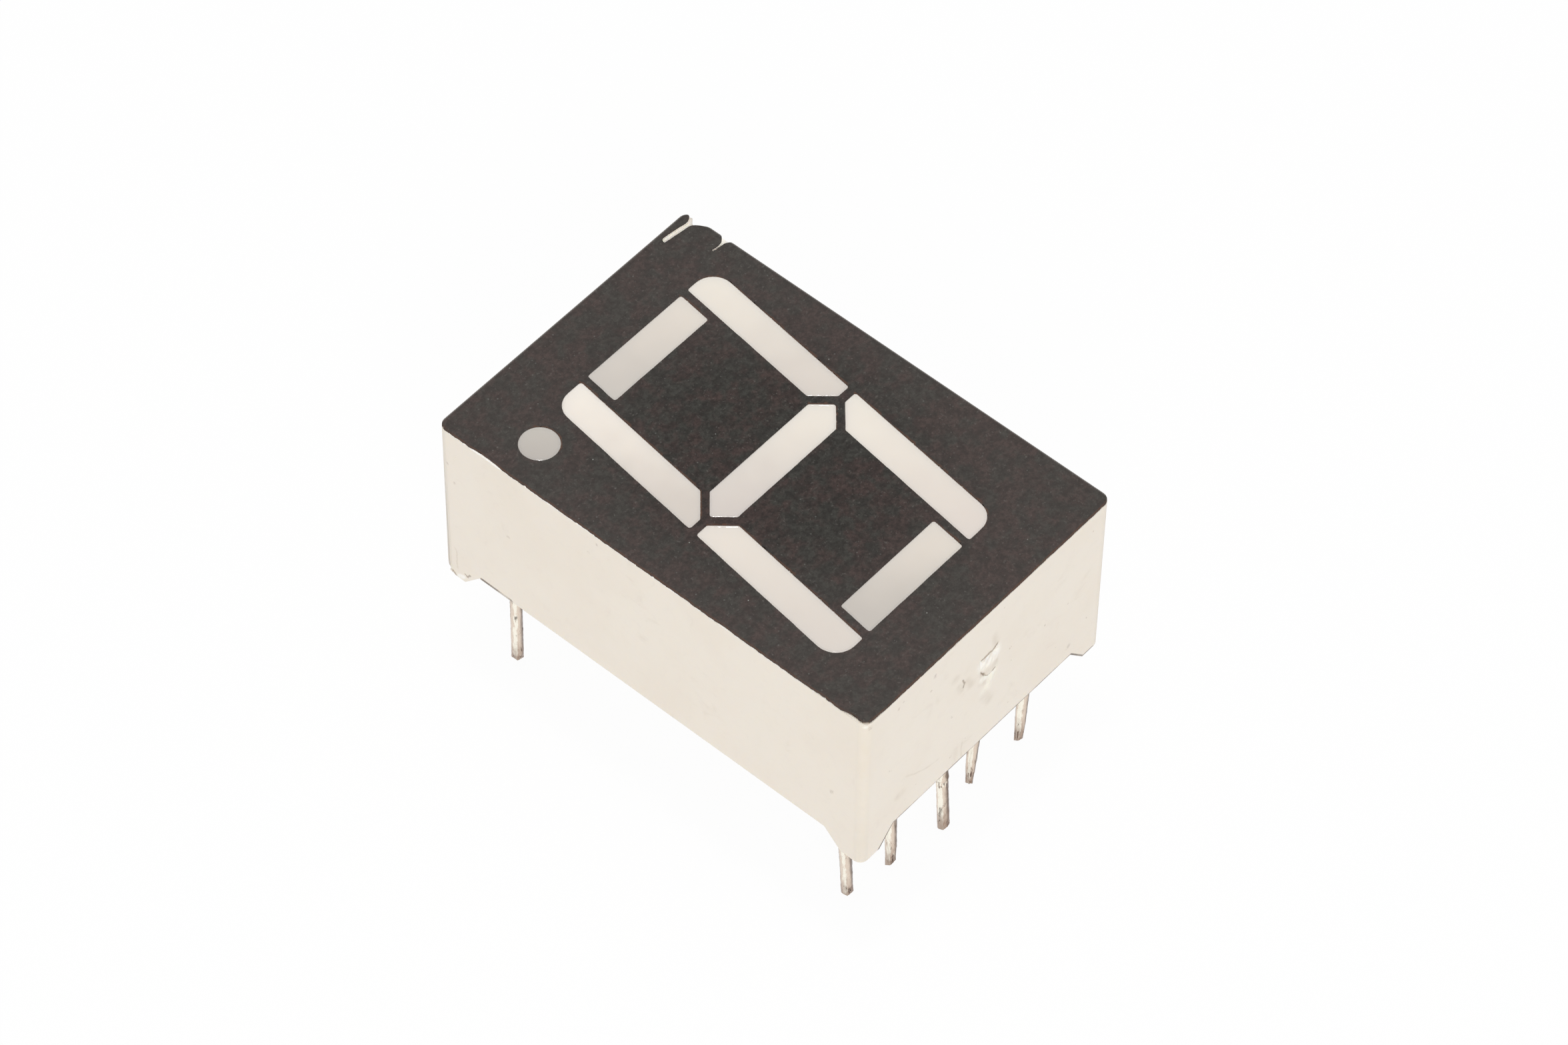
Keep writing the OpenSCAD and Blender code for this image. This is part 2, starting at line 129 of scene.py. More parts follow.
def finish_piece(bm, name, nodes, material, crease=32):
    """Makes an object of the mesh, its edges sharp past the crease, in place of the CAD nodes."""
    mesh = bpy.data.meshes.new(name)
    bm.to_mesh(mesh)
    bm.free()
    mesh.shade_smooth()
    mesh.set_sharp_from_angle(angle=math.radians(crease))
    mesh.materials.append(material)
    piece = bpy.data.objects.new(name, mesh)
    bpy.context.scene.collection.objects.link(piece)
    # small faces take the bend between large ones, as on a real moulding
    piece.modifiers.new("even_shading", "WEIGHTED_NORMAL").keep_sharp = True
    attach(piece, "root")
    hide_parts(*nodes)


def new_material(name):
    """An empty material and its node tree."""
    material = bpy.data.materials.new(name)
    material.use_nodes = True
    material.node_tree.nodes.clear()
    return material, material.node_tree


def join(tree, socket, value):
    """Feeds an input: with another node's output, or with a plain value."""
    if isinstance(value, bpy.types.NodeSocket):
        tree.links.new(value, socket)
    else:
        socket.default_value = value


def add(tree, kind, settings=None, **values):
    """A node, with its settings and its named inputs."""
    made = tree.nodes.new("ShaderNode" + kind)
    for name, value in (settings or {}).items():
        setattr(made, name, value)
    for name, value in values.items():
        join(tree, made.inputs[name.replace("_", " ")], value)
    return made


def compute(tree, operation, a, b=0.0, c=0.0, clamp=False):
    """One sum on numbers."""
    made = add(tree, "Math", {"operation": operation, "use_clamp": clamp})
    for socket, value in zip(made.inputs, (a, b, c)):
        join(tree, socket, value)
    return made.outputs[0]


def compute_vector(tree, operation, a, b=(0, 0, 0), scale=1.0):
    """One sum on vectors. Distance, length and dot product come out as a number."""
    made = add(tree, "VectorMath", {"operation": operation})
    for index, value in ((0, a), (1, b), (3, scale)):
        join(tree, made.inputs[index], value)
    single = operation in ("DISTANCE", "LENGTH", "DOT_PRODUCT")
    return made.outputs["Value" if single else "Vector"]


def blend_colours(tree, factor, a, b):
    """Colour a, with colour b over it as far as the factor says."""
    made = add(tree, "Mix", {"data_type": "RGBA"})
    for index, value in ((0, factor), (6, a), (7, b)):
        join(tree, made.inputs[index], value)
    return made.outputs[2]


def tinted(tree, colour, mask, strength, shade):
    """The colour, with a shade over it where the mask is, at most at the given strength."""
    return blend_colours(tree, compute(tree, "MULTIPLY", mask, strength), colour, shade)


def ramp(tree, value, low, high, to_low=0.0, to_high=1.0):
    """A value from low to high becomes, by a soft step, one from to_low to to_high."""
    made = add(tree, "MapRange", {"interpolation_type": "SMOOTHSTEP"})
    for index, number in enumerate((value, low, high, to_low, to_high)):
        join(tree, made.inputs[index], number)
    return made.outputs[0]


def noise_at(tree, place, size, detail=2.0, roughness=0.5, distortion=0.0):
    """Soft noise whose spots are about size millimetres across."""
    made = add(
        tree, "TexNoise", Vector=place, Scale=1 / size, Detail=detail, Roughness=roughness,
        Distortion=distortion,
    )
    return made.outputs[0]


def patchy(tree, mask, place, size, low, high, least=0.0, detail=3.0):
    """Breaks a mask up into patches of a size, down to the least share between them."""
    share = ramp(tree, noise_at(tree, place, size, detail), low, high, least)
    return compute(tree, "MULTIPLY", mask, share)


def bumped(tree, height, strength, depth):
    """The normals of an uneven surface. The depth is in millimetres."""
    made = add(tree, "Bump", Strength=strength, Distance=depth * MM, Height=height)
    return made.outputs[0]


def millimetres(tree):
    """The place on the piece, in millimetres."""
    place = add(tree, "TexCoord").outputs["Object"]
    return compute_vector(tree, "SCALE", place, scale=1 / MM)


def finish_material(tree, **sockets):
    """The material's one shader and its output."""
    shader = add(tree, "BsdfPrincipled", **sockets)
    add(tree, "OutputMaterial", Surface=shader.outputs[0])


def rgb(red, green, blue):
    """A colour as a paint chart gives it, from 0 to 255, as the shaders take it."""
    shares = [c / 255 for c in (red, green, blue)]
    linear = [s / 12.92 if s < 0.0404 else ((s + 0.055) / 1.055) ** 2.4 for s in shares]
    return (*linear, 1)


def new_group(name, inputs, outputs):
    """An effect that several finishes share. Inputs are (name, kind, start value)."""
    group = bpy.data.node_groups.new(name, "ShaderNodeTree")
    sockets = group.interface
    for label, kind, start in inputs:
        socket = sockets.new_socket(name=label, in_out="INPUT", socket_type="NodeSocket" + kind)
        if start is not None:
            socket.default_value = start
    for label, kind in outputs:
        sockets.new_socket(name=label, in_out="OUTPUT", socket_type="NodeSocket" + kind)
    source = group.nodes.new("NodeGroupInput").outputs
    result = group.nodes.new("NodeGroupOutput").inputs
    return group, source, result


def use(tree, group, **values):
    """Places a shared effect in a material and returns its outputs."""
    return add(tree, "Group", {"node_tree": group}, **values).outputs


# a line scratched or cracked into a surface, from one point to another, in millimetres
scratch, given, result = new_group(
    "scratch",
    [("Place", "Vector", None), ("Start", "Vector", None), ("End", "Vector", None),
     ("Width", "Float", 0.05)],
    [("Mask", "Float")],
)
along = compute_vector(scratch, "SUBTRACT", given["End"], given["Start"])
offset = compute_vector(scratch, "SUBTRACT", given["Place"], given["Start"])
share = compute(
    scratch, "DIVIDE", compute_vector(scratch, "DOT_PRODUCT", offset, along),
    compute_vector(scratch, "DOT_PRODUCT", along, along),
)
share = compute(scratch, "MINIMUM", compute(scratch, "MAXIMUM", share, 0.0), 1.0)
nearest = compute_vector(scratch, "SCALE", along, scale=share)
away = compute_vector(scratch, "DISTANCE", offset, nearest)
mask = compute(scratch, "SUBTRACT", 1.0, compute(scratch, "DIVIDE", away, given["Width"]))
scratch.links.new(mask, result["Mask"])

# small specks of dust or dirt, at random, of several sizes
specks, given, result = new_group(
    "specks",
    [("Place", "Vector", None), ("Spacing", "Float", 1.0), ("Size", "Float", 0.1)],
    [("Mask", "Float")],
)
SPECK_EDGE = 40.0
density = compute(specks, "DIVIDE", 1.0, given["Spacing"])
cells = add(specks, "TexVoronoi", Vector=given["Place"], Scale=density).outputs
apart = compute(specks, "MULTIPLY", cells["Distance"], given["Spacing"])
chance = add(specks, "SeparateColor", Color=cells["Color"]).outputs[0]
radius = compute(specks, "MULTIPLY", given["Size"], compute(specks, "POWER", chance, 2.0))
inside = compute(specks, "SUBTRACT", radius, apart)
mask = compute(specks, "MULTIPLY", inside, SPECK_EDGE, clamp=True)
specks.links.new(mask, result["Mask"])

# the fine uneven surface of a moulding or of dried ink
grain, given, result = new_group(
    "grain",
    [("Place", "Vector", None), ("Size", "Float", 0.2)],
    [("Height", "Float")],
)
fine = add(
    grain, "TexNoise", Vector=given["Place"], Scale=compute(grain, "DIVIDE", 1.0, given["Size"]),
    Detail=3.0, Roughness=0.6,
).outputs[0]
grain.links.new(fine, result["Height"])


def lines(tree, place, strokes):
    """All of a set of lines as one mask. A stroke is a width and the points that it passes."""
    whole = 0.0
    for width, *points in strokes:
        for start, end in zip(points, points[1:]):
            one = use(tree, scratch, Place=place, Start=start, End=end, Width=width)["Mask"]
            whole = compute(tree, "MAXIMUM", whole, one)
    return whole


# The marks on the walls, as strokes in millimetres: on the wall that faces +Y, where the gate was,
# and on the one that faces +X
WALL_Y, WALL_X = HALF_Y / MM, HALF_X / MM
CRACKS_AND_SHADOW_LINES = [
    (0.07, (WALL_X, -8.52, 0.46), (WALL_X, -8.43, 0.38), (WALL_X, -8.3, 0.56)),
    (0.1, (WALL_X, -9.12, 0.16), (WALL_X, -8.98, 0.02)),
    # the next three are painted shadow: under the gate's lip, and under its fold
    (0.08, (-0.46, WALL_Y, 5.7), (-0.2, WALL_Y, 5.59), (0.12, WALL_Y, 5.59), (0.34, WALL_Y, 5.57)),
    (0.075, (-0.37, WALL_Y, 4.5), (-0.2, WALL_Y, 4.41), (-0.03, WALL_Y, 4.41),
     (0.1, WALL_Y, 4.47)),
    (0.07, (0.1, WALL_Y, 4.48), (0.19, WALL_Y, 4.62), (0.24, WALL_Y, 4.76)),
    (0.07, (1.3, WALL_Y, 5.42), (1.17, WALL_Y, 5.16), (1.25, WALL_Y, 4.96)),
]
SPOTS = [
    (0.09, (WALL_X, -6.38, 4.43), (WALL_X, -6.38, 4.4)),
    (0.08, (WALL_X, -2.29, 7.52), (WALL_X, -2.29, 7.5)),
    (0.08, (WALL_X, -2.66, 6.76), (WALL_X, -2.66, 6.74)),
    (0.09, (WALL_X, -9.14, 6.15), (WALL_X, -9.12, 6.1)),
    (0.08, (WALL_X, -8.83, 5.32), (WALL_X, -8.83, 5.28)),
    (0.1, (6.06, WALL_Y, 7.66), (6.04, WALL_Y, 7.56)),
    (0.09, (4.64, WALL_Y, 7.25), (4.64, WALL_Y, 7.2)),
    (0.08, (4.38, WALL_Y, 7.42), (4.38, WALL_Y, 7.38)),
    (0.1, (2.79, WALL_Y, 7.2), (2.79, WALL_Y, 7.1)),
    (0.05, (4.99, WALL_Y, 4.12), (4.9, WALL_Y, 4.02)),
    (0.1, (WALL_X, 8.15, 3.1), (WALL_X, 8.1, 3.0)),
    (0.14, (-4.5, WALL_Y, 1.5), (-4.46, WALL_Y, 1.44)),
]
# painted shade along the lower edges, where the shadow under the body shows: under the +Y wall and
# under the arch of the +X wall
SHADE_UNDER_EDGES = [
    (0.12, (5.4, WALL_Y, 0.03), (4.66, WALL_Y, 0.82), (-4.66, WALL_Y, 0.82),
     (-5.35, WALL_Y, 0.03), (-5.9, WALL_Y, 0.02)),
    (0.2, (WALL_X, -7.7, 0.8), (WALL_X, -6.4, 0.79)),
]
# soft greyish smears, and painted shade between the crumples of the torn gate
SMEARS_AND_CREASE_SHADE = [
    (0.07, (WALL_X, -8.98, 1.56), (WALL_X, -8.88, 1.45), (WALL_X, -8.9, 0.5)),
    (0.3, (1.05, WALL_Y, 5.12), (0.82, WALL_Y, 4.68)),
    (0.28, (1.72, WALL_Y, 5.88), (1.6, WALL_Y, 5.78)),
    (0.3, (1.5, WALL_Y, 5.2), (1.3, WALL_Y, 4.9)),
    (0.25, (-0.42, WALL_Y, 5.82), (-0.3, WALL_Y, 6.3)),
    # these two are painted shade between the crumples of the torn gate
    (0.07, (-0.5, WALL_Y, 5.4), (0.0, WALL_Y, 5.12), (0.3, WALL_Y, 5.02)),
    (0.06, (-0.3, WALL_Y, 5.45), (0.2, WALL_Y, 5.25)),
    (0.26, (-0.42, WALL_Y, 4.76), (-0.1, WALL_Y, 4.62), (0.12, WALL_Y, 4.72)),
    (0.08, (1.13, WALL_Y, 1.75), (1.19, WALL_Y, 1.4), (1.12, WALL_Y, 0.8)),
    (0.35, (0.1, WALL_Y, 3.35), (-0.2, WALL_Y, 2.8)),
    (0.2, (0.3, WALL_Y, 4.2), (0.1, WALL_Y, 4.05)),
    (0.07, (2.4, WALL_Y, 2.1), (3.0, WALL_Y, 2.22), (3.76, WALL_Y, 2.63), (4.12, WALL_Y, 2.9)),
    (0.3, (4.45, WALL_Y, 2.13), (4.3, WALL_Y, 2.13)),
]
# fresh plastic where the gate, a foot and a corner of the face were torn off, and where a flake of
# the ink is gone by the upper edge: paler than the worn skin; and painted highlights along the upper
# edge of the +X wall and on the upright corner below the ink
TORN_AND_GLINTS = [
    (0.5, (0.2, WALL_Y, 5.22), (-0.36, WALL_Y, 5.28)),
    (0.2, (0.25, WALL_Y, 4.38), (0.08, WALL_Y, 4.26)),
    (0.22, (-0.08, WALL_Y, 4.24), (-0.34, WALL_Y, 4.2)),
    (0.1, (WALL_X - 0.04, -8.0, 7.9), (WALL_X - 0.04, -6.7, 7.9)),
    # these two are painted highlights: the upper edge of the +X wall where it rolls over, and a glint
    # on the upright corner below the ink
    (0.06, (WALL_X, -9.0, 7.91), (WALL_X, 9.2, 7.91)),
    (0.09, (WALL_X - 0.12, WALL_Y, 7.75), (WALL_X - 0.1, WALL_Y, 7.73)),
    (0.16, (WALL_X, -8.83, 0.1), (WALL_X, -8.62, 0.24)),
    (0.85, (-4.5, -9.2, 8.0), (-5.3, -8.9, 8.0), (-6.1, -8.6, 8.0), (-6.1, -7.4, 8.0)),
]
# and, more faintly, along the fold and down the ridge below it
PALE = [
    (0.4, (-0.28, WALL_Y, 4.2), (-0.12, WALL_Y, 3.9), (0.02, WALL_Y, 3.62)),
    (0.25, (0.2, WALL_Y, 4.34), (-0.3, WALL_Y, 4.2)),
]
# how far the strokes waver, and how deep the torn gate is, so that strokes reach down into it
WAVER, GATE_DEPTH = 0.12, 0.5

ivory, tree = new_material("ivory_plastic")
place = millimetres(tree)
clouds = ramp(tree, noise_at(tree, place, 3.5, 3.0, 0.6), 0.4, 0.72)
smears = ramp(tree, noise_at(tree, place, 1.1, 4.0, 0.65, 0.6), 0.56, 0.8)
dirt = use(tree, specks, Place=place, Spacing=0.6, Size=0.09)["Mask"]
dirt = patchy(tree, dirt, place, 0.08, 0.42, 0.6, detail=2.0)
rubs = ramp(tree, noise_at(tree, place, 0.4, 4.0, 0.65, 0.8), 0.5, 0.75)
colour = tinted(tree, rgb(240, 231, 218), clouds, 0.5, rgb(236, 225, 210))
colour = tinted(tree, colour, smears, 0.3, rgb(220, 209, 196))
colour = tinted(tree, colour, dirt, 0.45, rgb(160, 138, 114))
colour = tinted(tree, colour, rubs, 0.11, rgb(222, 210, 198))

# a place for the strokes that wavers, and that takes the torn gate as flush with its wall
shake = add(tree, "TexNoise", Vector=place, Scale=5.0, Detail=3.0).outputs["Color"]
shake = compute_vector(tree, "SUBTRACT", shake, (0.5, 0.5, 0.5))
shaken = compute_vector(tree, "ADD", place, compute_vector(tree, "SCALE", shake, scale=WAVER))
parts = add(tree, "SeparateXYZ", Vector=shaken).outputs
on_wall = compute(tree, "GREATER_THAN", parts["Y"], WALL_Y - GATE_DEPTH)
level = compute(tree, "MULTIPLY", on_wall, compute(tree, "SUBTRACT", WALL_Y, parts["Y"]))
flush = compute(tree, "ADD", parts["Y"], level)
shaken = add(tree, "CombineXYZ", X=parts["X"], Y=flush, Z=parts["Z"]).outputs[0]

# fresh plastic, and the painted highlights on the upper edge and the corner
torn = patchy(
    tree, ramp(tree, lines(tree, shaken, TORN_AND_GLINTS), 0.05, 0.85), place, 0.16, 0.3, 0.55, least=0.55
)
colour = blend_colours(tree, torn, colour, rgb(255, 251, 243))
pale = patchy(tree, lines(tree, shaken, PALE), place, 0.2, 0.3, 0.6, least=0.3)
colour = tinted(tree, colour, pale, 0.9, rgb(254, 248, 232))

# handling yellows the upright edges
parts = add(tree, "SeparateXYZ", Vector=place).outputs
beside_x, beside_y = (
    ramp(tree, compute(tree, "ABSOLUTE", parts[axis]), wall - 0.5, wall - 0.12)
    for axis, wall in (("X", WALL_X), ("Y", WALL_Y))
)
upright = compute(tree, "MULTIPLY", beside_x, beside_y)
upright = patchy(tree, upright, place, 0.5, 0.2, 0.6, least=0.6)
colour = tinted(tree, colour, upright, 0.25, rgb(220, 209, 189))

# smears, and painted shade in the torn gate's crumples
smeared_and_shaded = ramp(tree, lines(tree, shaken, SMEARS_AND_CREASE_SHADE), 0.0, 0.9)
smeared_and_shaded = patchy(tree, smeared_and_shaded, place, 0.3, 0.25, 0.65, least=0.3)
colour = tinted(tree, colour, smeared_and_shaded, 0.32, rgb(200, 186, 166))
spotted = patchy(tree, lines(tree, shaken, SPOTS), place, 0.1, 0.3, 0.6, detail=2.0)
spotted = compute(tree, "MULTIPLY", spotted, 0.45, clamp=True)
colour = blend_colours(tree, spotted, colour, rgb(158, 137, 118))
# painted shade under the lower edges
shade_under_edges = ramp(tree, lines(tree, place, SHADE_UNDER_EDGES), 0.25, 0.6)
shade_under_edges = patchy(tree, shade_under_edges, place, 0.9, 0.35, 0.55, least=0.4)
colour = tinted(tree, colour, shade_under_edges, 0.9, rgb(100, 86, 76))
# cracks, and painted shadow lines under the gate's lip and fold
cracked_and_shadowed = ramp(tree, lines(tree, shaken, CRACKS_AND_SHADOW_LINES), 0.15, 0.85)
colour = tinted(tree, colour, cracked_and_shadowed, 0.75, rgb(150, 130, 110))
surface = use(tree, grain, Place=place, Size=0.25)["Height"]
height = compute(tree, "SUBTRACT", surface, compute(tree, "MULTIPLY", cracked_and_shadowed, 1.5))
finish_material(
    tree, Base_Color=colour, Roughness=ramp(tree, smears, 0.0, 1.0, 0.4, 0.55),
    Normal=bumped(tree, height, 0.2, 0.02),
    Subsurface_Weight=0.2, Subsurface_Scale=0.3 * MM, Subsurface_Radius=(1.0, 0.8, 0.5),
)

# the gate, where the block was broken off its runner: a lip over a torn ledge, a fold under it, and
# a low ridge that runs down from the fold. Heights and sizes in millimetres
LIP, LEDGE, FOLD, FOLD_DROP = 5.54, 4.95, 4.4, 0.55
GATE_X, GATE_HALF = -0.07, 0.5
GATE_LOW, GATE_HIGH = (-0.7 * MM, 3.3 * MM), (0.56 * MM, 5.9 * MM)
GATE_PITCH = 0.035 * MM


def torn_gate(x, z):
    """How far the torn gate stands out of its wall, in millimetres."""
    lip = LIP + 1.2 * max(0.0, -0.15 - x) ** 2
    fold = FOLD + 4.75 * max(0.0, x + 0.03) ** 2
    crumple = noise.noise(Vector(((x + 0.9 * z) / 0.16, 0.0, (z - 0.9 * x) / 0.6))) * 0.05
    if LEDGE < z < lip:
        rise = 0.03 - 0.2 * (z - LEDGE) / (lip - LEDGE) + crumple
    elif fold < z <= LEDGE:
        rise = 0.03 + 0.01 * (LEDGE - z) / (LEDGE - fold) + crumple * 0.15
    elif fold - FOLD_DROP < z <= fold:
        rise = -0.05 * (1 - (fold - z) / FOLD_DROP) + crumple * 0.5
    else:
        rise = 0.03 * math.exp(-(((z - lip) / 0.08) ** 2)) if z >= lip else 0.0
    across_ridge = (x + 0.22 + 0.42 * (z - 4.0)) / 0.13
    ridge = 0.035 * math.exp(-(across_ridge ** 2)) * max(0.0, 1 - abs(z - 3.9) / 0.45)
    return (rise + ridge) * max(0.0, 1 - (abs(x - GATE_X) / GATE_HALF) ** 6)


def at_gate(co, depth):
    """Whether a point lies in the patch of wall round the gate, at most that deep."""
    in_patch = GATE_LOW[0] < co.x < GATE_HIGH[0] and GATE_LOW[1] < co.z < GATE_HIGH[1]
    return in_patch and co.y > HALF_Y - depth


# the corner with the broken foot, how far round it the break reaches, how high it goes, and how
# fine its raggedness is
BREAK = Vector((HALF_X, -HALF_Y, 0.3 * MM))
BREAK_REACH, BREAK_TOP = 1.3 * MM, 1.1 * MM
RAGGED = 0.06 * MM
# all edges of the feet are below this height, and well away from the broken one by this much
FEET_TOP, FROM_BREAK = 1.5 * MM, 2.4 * MM
# the bend of the upper edge starts at this height, and only the upper face is above this one
ROLL_START, UPPER_FACE = 7.75 * MM, 7.9 * MM


def near_break(f):
    """Whether a face belongs to the broken surface, which lies at a slant."""
    middle = f.calc_center_median()
    slanted = max(abs(c) for c in f.normal) < 0.995
    return (middle - BREAK).length < BREAK_REACH and middle.z < BREAK_TOP and slanted


def sharp_at_feet(e):
    """Whether an edge is one of the feet's, away from the break."""
    if len(e.link_faces) != 2 or e.calc_face_angle() <= math.radians(50):
        return False
    gaps = [abs(v.co.x - HALF_X) + abs(v.co.y + HALF_Y) for v in e.verts]
    return min(gaps) > FROM_BREAK and all(v.co.z < FEET_TOP for v in e.verts)


block = welded("housing")
for v in block.verts:
    if at_gate(v.co, 0.4 * MM):
        v.co.y = HALF_Y
merge_flats(block)
bmesh.ops.bevel(
    block, geom=[e for e in block.edges if sharp_at_feet(e)], offset=0.045 * MM, segments=2,
    profile=0.5, affect="EDGES", clamp_overlap=True, material=-1,
)
for reach in ROLL_CUTS:
    for axis, half in ((0, HALF_X), (1, HALF_Y)):
        cut_across(
            block, axis, (half - reach, reach - half),
            lambda f: f.normal.z > 0.99 and f.calc_center_median().z > UPPER_FACE,
        )
cut_across(
    block, 2, (ROLL_START,),
    lambda f: abs(f.normal.z) < 0.5 and from_border(f.calc_center_median()) < ROLL_DEPTH,
)
roll_over(block, block_high.z)
block.normal_update()
mesh_finely(block, (0, 2), GATE_LOW, GATE_HIGH, GATE_PITCH, Vector((0, 1, 0)))
for v in block.verts:
    if at_gate(v.co, 0.001 * MM):
        v.co.y += torn_gate(v.co.x / MM, v.co.z / MM) * MM

# the broken foot is ragged
for _ in range(3):
    large = [f for f in block.faces if near_break(f) and f.calc_area() > RAGGED ** 2]
    if large:
        bmesh.ops.triangulate(block, faces=large)
        cracks = dict.fromkeys(e for f in block.faces if near_break(f) for e in f.edges)
        bmesh.ops.subdivide_edges(block, edges=list(cracks), cuts=1)
block.normal_update()
broken = dict.fromkeys(v for f in block.faces if near_break(f) for v in f.verts)
for v, normal in [(v, v.normal.copy()) for v in broken if v.co.z < BREAK_TOP]:
    push = noise.noise(v.co / (0.28 * MM)) * 0.09 + noise.noise(v.co / (0.1 * MM)) * 0.04
    v.co += normal * push * MM
    v.co.x, v.co.y = min(v.co.x, HALF_X), max(v.co.y, -HALF_Y)
finish_piece(block, "reflector_block", ["housing"], ivory)


# ---- the printed face ----
# A coat of matt black ink covers the face up to its edges and is open over every well. It is a few
# hundredths of a millimetre thick, a little ragged at its borders and dusted with pale specks.

face_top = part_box("face_print")[1].z

ink, tree = new_material("black_ink")
place = millimetres(tree)
tint = noise_at(tree, place, 0.55, 2.5, 0.55)
wide_tint = noise_at(tree, place, 3.0, 2.0)
tint = compute(tree, "ADD", tint, compute(tree, "MULTIPLY_ADD", wide_tint, 0.5, -0.25))
mottle = ramp(tree, noise_at(tree, place, 0.16, 4.0, 0.75), 0.4, 0.62)
patch = ramp(tree, noise_at(tree, place, 0.42, 3.0, 0.6), 0.42, 0.6)
scuff = ramp(tree, noise_at(tree, place, 0.11, 3.0, 0.6), 0.58, 0.74)
colour = blend_colours(tree, ramp(tree, tint, 0.36, 0.64), rgb(63, 62, 58), rgb(72, 60, 57))
colour = tinted(tree, colour, patch, 0.52, rgb(42, 39, 37))
colour = tinted(tree, colour, mottle, 0.55, rgb(34, 31, 29))
colour = tinted(tree, colour, scuff, 0.4, rgb(106, 102, 98))
# handling has dulled it more towards the sides of the face
outer = compute_vector(tree, "LENGTH", compute_vector(tree, "MULTIPLY", place, (1.4, 1.0, 0.0)))
colour = tinted(tree, colour, ramp(tree, outer, 3.0, 9.5), 0.16, rgb(112, 104, 100))
haze = use(tree, specks, Place=place, Spacing=0.22, Size=0.045)["Mask"]
colour = tinted(tree, colour, haze, 0.4, rgb(120, 120, 116))
dust = use(tree, specks, Place=place, Spacing=0.5, Size=0.034)["Mask"]
colour = tinted(tree, colour, dust, 0.8, rgb(176, 178, 172))
# the coat thins to brown at its borders
border = add(tree, "Attribute", {"attribute_name": "border"}).outputs["Fac"]
thin = patchy(tree, ramp(tree, border, 0.45, 0.9), place, 0.35, 0.3, 0.55, least=0.3)
colour = tinted(tree, colour, thin, 0.85, rgb(92, 68, 56))
# and is painted grey where it rolls over the -X and -Y edges of the face: a painted sheen for the light
# that the rolled edge reflects
parts = add(tree, "SeparateXYZ", Vector=place).outputs
rolled_sheen_x, rolled_sheen_y = (
    ramp(tree, parts[axis], 0.1 - wall, 0.04 - wall) for axis, wall in (("X", WALL_X), ("Y", WALL_Y))
)
# painted sheen where the face rolls over its far edges
far = compute(tree, "MAXIMUM", rolled_sheen_x, rolled_sheen_y)
colour = tinted(tree, colour, far, 0.8, rgb(132, 127, 122))
surface = use(tree, grain, Place=place, Size=0.14)["Height"]
finish_material(
    tree, Base_Color=colour, Roughness=0.6, Normal=bumped(tree, surface, 0.9, 0.02),
    Specular_IOR_Level=0.12,
)

# The torn outline is rounded off further out than the first two of these places, in millimetres,
# but the sharp end of the upper slit, further in than the last two, stays sharp
TEAR_X, TEAR_Y, SLIT_END = -4.95, -7.35, (-5.68, -7.8)
TEAR_MARGIN = 0.05
LEVEL = 0.01 * MM
SKIN_PITCH = 0.22 * MM
# a crease runs on from the torn corner: its distance from the short edge, its half width and its
# depth, in millimetres
CREASE_IN, CREASE_HALF, CREASE_DROP = 0.17, 0.04, 0.02


def by_tear(v):
    """Whether a corner of the mesh is at the torn corner of the coat."""
    x, y = v.co.x / MM, v.co.y / MM
    return x < TEAR_X and y < TEAR_Y and not (x > SLIT_END[0] and y > SLIT_END[1])


def on_border(v):
    """Whether a corner of the mesh is on the coat's edge."""
    return any(abs(f.normal.z) < 0.5 for f in v.link_faces)


def is_level(e):
    """Whether an edge of the mesh keeps one height."""
    return abs(e.verts[0].co.z - e.verts[1].co.z) < LEVEL


def border_edges(v):
    """The edges that run along the border of the ink, at its top or its foot."""
    return [e for e in v.link_edges if is_level(e) and any(abs(f.normal.z) < 0.5 for f in e.link_faces)]


# the outline of the torn corner is rounded off
skin = welded("face_print")
merge_flats(skin)
cut_across(skin, 0, ((TEAR_X + TEAR_MARGIN) * MM,))
cut_across(skin, 1, ((TEAR_Y + TEAR_MARGIN) * MM,))
for e in dict.fromkeys(e for v in skin.verts if by_tear(v) for e in border_edges(v)):
    if e.is_valid and e.calc_length() > 0.1 * MM:
        bmesh.ops.subdivide_edges(skin, edges=[e], cuts=int(e.calc_length() / (0.05 * MM)))
for _ in range(8):
    smoother = {}
    for v in skin.verts:
        ends = [e.other_vert(v).co for e in border_edges(v)] if by_tear(v) else []
        if len(ends) == 2:
            smoother[v] = v.co * 0.5 + (ends[0] + ends[1]) * 0.25
    for v, smoothed in smoother.items():
        v.co = smoothed

# the coat is cut into small squares, and its borders more finely
for axis, half in ((0, HALF_X), (1, HALF_Y)):
    steps = int(2 * half / SKIN_PITCH)
    places = [half * (2 * k / steps - 1) for k in range(1, steps)]
    places += [side * (half - reach) for side in (-1, 1) for reach in ROLL_CUTS]
    if axis == 1:
        crease = (CREASE_IN - CREASE_HALF, CREASE_IN, CREASE_IN + CREASE_HALF)
        places += [reach * MM - HALF_Y for reach in crease]
    cut_across(skin, axis, places)
borders = [e for e in skin.edges if is_level(e) and all(on_border(v) for v in e.verts)]
bmesh.ops.subdivide_edges(skin, edges=borders, cuts=2)
skin.normal_update()

# What lies near the body's edge moves in with it. Along the long wall a flake is missing near one
# end, and the ink is worn back at the other: the middle and half length of both, in millimetres
FRINGE = 0.3 * MM
FLAKE_Y, FLAKE_HALF = -7.3, 0.75
WORN_Y, WORN_HALF = 8.9, 0.5
CORNER_REACH = 0.9 * MM
# without a seed, vector noise would differ in every run
noise.seed_set(1)


